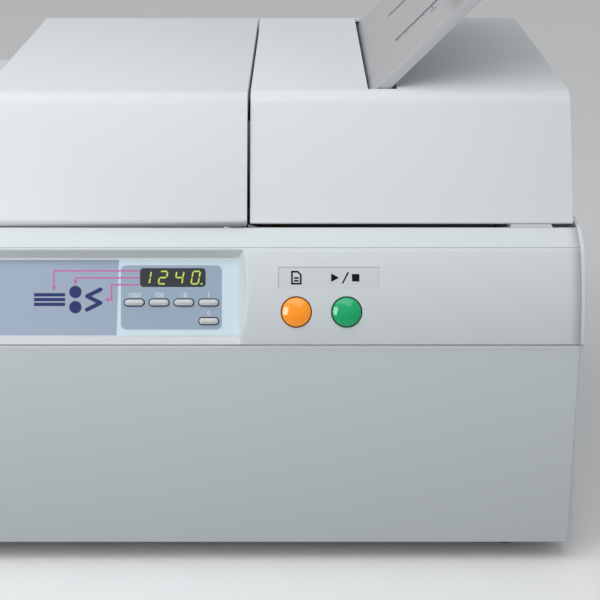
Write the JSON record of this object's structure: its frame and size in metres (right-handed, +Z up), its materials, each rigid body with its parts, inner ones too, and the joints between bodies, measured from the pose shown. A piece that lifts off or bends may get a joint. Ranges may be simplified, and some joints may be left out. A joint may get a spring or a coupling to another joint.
{
  "type": "paper folding machine",
  "caption": "Desktop paper folding machine with a leaning console, hinged feed hood, buckle fold plates, feed table with guides and a belt delivery tray.",
  "frame": {"origin": "on the floor, below the middle of the machine's box", "axes": "+X from the feed table to the fold plates, -Y to the operator, +Z up"},
  "size_m": [0.82, 0.54, 0.5147],
  "materials": {
    "cover_plastic": "light grey moulded plastic, fine texture",
    "lower_panel": "light grey paint, satin",
    "sheet_steel": "zinc plated sheet",
    "bright_steel": "turned steel",
    "plate_aluminium": "satin anodised sheet",
    "black_rubber": "matt rubber",
    "delivery_belting": "smooth flat belting",
    "panel_overlay": "printed overlay, satin",
    "smoked_lens": "smoked lens, smooth",
    "black_plastic": "black moulded plastic",
    "rocker_plastic": "black rocker, smooth",
    "circuit_board": "solder mask",
    "legend_white": "printed strip",
    "orange_cap": "orange moulded cap, smooth",
    "green_cap": "green moulded cap, smooth",
    "key_plastic": "pale grey moulded plastic",
    "friction_pad": "friction rubber",
    "gear_plastic": "acetal",
    "bronze_bush": "sintered bronze",
    "motor_metal": "dark enamel"
  },
  "bodies": {
    "machine": {"console_housing": "cover_plastic", "fold_hood": "cover_plastic", "left_cover": "cover_plastic", "right_cover": "cover_plastic", "rear_cover": "cover_plastic", "feed_table": "cover_plastic", "delivery_tray": "cover_plastic", "lower_front_cover": "lower_panel", "base_plate": "sheet_steel", "front_side_frame": "sheet_steel", "rear_side_frame": "sheet_steel", "delivery_chute": "sheet_steel", "tie_bars": "bright_steel", "hood_hinge_brackets": "bright_steel", "hood_hinge_pins": "bright_steel", "cover_screws": "bright_steel", "upper_fold_plate": "plate_aluminium", "lower_fold_plate": "plate_aluminium", "rubber_feet": "black_rubber", "drive_belt": "black_rubber", "delivery_belts": "delivery_belting", "display_panel": "panel_overlay", "display_window": "smoked_lens", "display_module": "black_plastic", "power_inlet": "black_plastic", "panel_board": "circuit_board", "control_board": "circuit_board", "legend_strip": "legend_white", "separator_pad": "friction_pad", "roller_bushes": "bronze_bush", "drive_motor": "motor_metal"},
    "feed_hood": {"feed_hood": "cover_plastic"},
    "test_button": {"test_button": "orange_cap"},
    "start_stop_button": {"start_stop_button": "green_cap"},
    "key_thousands": {"key_thousands": "key_plastic"},
    "key_hundreds": {"key_hundreds": "key_plastic"},
    "key_tens": {"key_tens": "key_plastic"},
    "key_units": {"key_units": "key_plastic"},
    "key_reset": {"key_reset": "key_plastic"},
    "front_guide": {"front_paper_guide": "key_plastic"},
    "rear_guide": {"rear_paper_guide": "key_plastic"},
    "pickup_roller": {"pickup_roller": "black_rubber"},
    "feed_roller": {"feed_roller": "black_rubber"},
    "centre_roller": {"fold_roller_centre": "black_rubber", "centre_roller_gear": "gear_plastic", "drive_pulley": "motor_metal"},
    "upper_roller": {"fold_roller_upper": "black_rubber", "upper_roller_gear": "gear_plastic"},
    "side_roller": {"fold_roller_side": "black_rubber", "side_roller_gear": "gear_plastic"},
    "lower_roller": {"fold_roller_lower": "black_rubber", "lower_roller_gear": "gear_plastic"},
    "motor_pulley": {"motor_pulley": "motor_metal"},
    "upper_stop": {"upper_fold_stop": "black_plastic"},
    "upper_knob": {"upper_stop_knob": "black_plastic"},
    "lower_stop": {"lower_fold_stop": "black_plastic"},
    "delivery_drive": {"delivery_drive_roller": "black_rubber"},
    "delivery_idler": {"delivery_idler_roller": "black_rubber"},
    "stacker": {"stacker": "key_plastic"},
    "power_rocker": {"power_switch": "rocker_plastic"}
  },
  "joints": [
    {"name": "hood_lift", "type": "hinge", "parent": "machine", "child": "feed_hood", "pos_m": [0.044, 0.23022, 0.27709], "axis": [-1, 0, 0], "range_deg": [0, 75]},
    {"name": "test_press", "type": "slide", "parent": "machine", "child": "test_button", "axis": [0, 0.9397, -0.342], "range_m": [0, 0.003], "stiffness_N_per_m": 450},
    {"name": "start_stop_press", "type": "slide", "parent": "machine", "child": "start_stop_button", "axis": [0, 0.9397, -0.342], "range_m": [0, 0.003], "stiffness_N_per_m": 450},
    {"name": "thousands_press", "type": "slide", "parent": "machine", "child": "key_thousands", "axis": [0, 0.9397, -0.342], "range_m": [0, 0.0012], "stiffness_N_per_m": 700},
    {"name": "hundreds_press", "type": "slide", "parent": "machine", "child": "key_hundreds", "axis": [0, 0.9397, -0.342], "range_m": [0, 0.0012], "stiffness_N_per_m": 700},
    {"name": "tens_press", "type": "slide", "parent": "machine", "child": "key_tens", "axis": [0, 0.9397, -0.342], "range_m": [0, 0.0012], "stiffness_N_per_m": 700},
    {"name": "units_press", "type": "slide", "parent": "machine", "child": "key_units", "axis": [0, 0.9397, -0.342], "range_m": [0, 0.0012], "stiffness_N_per_m": 700},
    {"name": "reset_press", "type": "slide", "parent": "machine", "child": "key_reset", "axis": [0, 0.9397, -0.342], "range_m": [0, 0.0012], "stiffness_N_per_m": 700},
    {"name": "front_guide_slide", "type": "slide", "parent": "machine", "child": "front_guide", "axis": [0, -1, 0], "range_m": [-0.032, 0.032]},
    {"name": "rear_guide_slide", "type": "slide", "parent": "machine", "child": "rear_guide", "axis": [0, 1, 0], "range_m": [-0.032, 0.032]},
    {"name": "centre_roller_spin", "type": "hinge", "parent": "machine", "child": "centre_roller", "pos_m": [0.172, 0, 0.28], "axis": [0, 1, 0], "continuous": true},
    {"name": "upper_roller_spin", "type": "hinge", "parent": "machine", "child": "upper_roller", "pos_m": [0.172, 0, 0.3144], "axis": [0, 1, 0], "continuous": true},
    {"name": "side_roller_spin", "type": "hinge", "parent": "machine", "child": "side_roller", "pos_m": [0.2064, 0, 0.28], "axis": [0, 1, 0], "continuous": true},
    {"name": "lower_roller_spin", "type": "hinge", "parent": "machine", "child": "lower_roller", "pos_m": [0.172, 0, 0.2456], "axis": [0, 1, 0], "continuous": true},
    {"name": "feed_roller_spin", "type": "hinge", "parent": "machine", "child": "feed_roller", "pos_m": [0.095, 0, 0.3176], "axis": [0, 1, 0], "continuous": true},
    {"name": "pickup_roller_spin", "type": "hinge", "parent": "machine", "child": "pickup_roller", "pos_m": [0.038, 0, 0.3116], "axis": [0, 1, 0], "continuous": true},
    {"name": "motor_pulley_spin", "type": "hinge", "parent": "machine", "child": "motor_pulley", "pos_m": [0.235, 0, 0.085], "axis": [0, 1, 0], "continuous": true},
    {"name": "delivery_drive_spin", "type": "hinge", "parent": "machine", "child": "delivery_drive", "pos_m": [-0.06, 0, 0.1], "axis": [0, 1, 0], "continuous": true},
    {"name": "delivery_idler_spin", "type": "hinge", "parent": "machine", "child": "delivery_idler", "pos_m": [-0.38, 0, 0.1], "axis": [0, 1, 0], "continuous": true},
    {"name": "upper_stop_slide", "type": "slide", "parent": "machine", "child": "upper_stop", "axis": [0.7071, 0, 0.7071], "range_m": [-0.065, 0.09]},
    {"name": "upper_knob_turn", "type": "hinge", "parent": "upper_stop", "child": "upper_knob", "pos_m": [0.32681, 0, 0.43481], "axis": [-0.7071, 0, 0.7071], "range_deg": [0, 180]},
    {"name": "lower_stop_slide", "type": "slide", "parent": "machine", "child": "lower_stop", "axis": [0.766, 0, -0.6428], "range_m": [-0.04, 0.06]},
    {"name": "stacker_slide", "type": "slide", "parent": "machine", "child": "stacker", "axis": [1, 0, 0], "range_m": [-0.055, 0.12]},
    {"name": "power_rock", "type": "hinge", "parent": "machine", "child": "power_rocker", "pos_m": [0.34, 0.264, 0.094], "axis": [-1, 0, 0], "range_deg": [0, 16]}
  ],
  "couplings": [
    {"joint": "upper_roller_spin", "follows": "centre_roller_spin", "ratio": -1},
    {"joint": "side_roller_spin", "follows": "centre_roller_spin", "ratio": -1},
    {"joint": "lower_roller_spin", "follows": "centre_roller_spin", "ratio": -1},
    {"joint": "feed_roller_spin", "follows": "centre_roller_spin", "ratio": -0.85},
    {"joint": "pickup_roller_spin", "follows": "centre_roller_spin", "ratio": -1.2143},
    {"joint": "motor_pulley_spin", "follows": "centre_roller_spin", "ratio": 1.75},
    {"joint": "delivery_drive_spin", "follows": "centre_roller_spin", "ratio": -1.4167},
    {"joint": "delivery_idler_spin", "follows": "centre_roller_spin", "ratio": -1.4167},
    {"joint": "rear_guide_slide", "follows": "front_guide_slide", "ratio": 1}
  ]
}
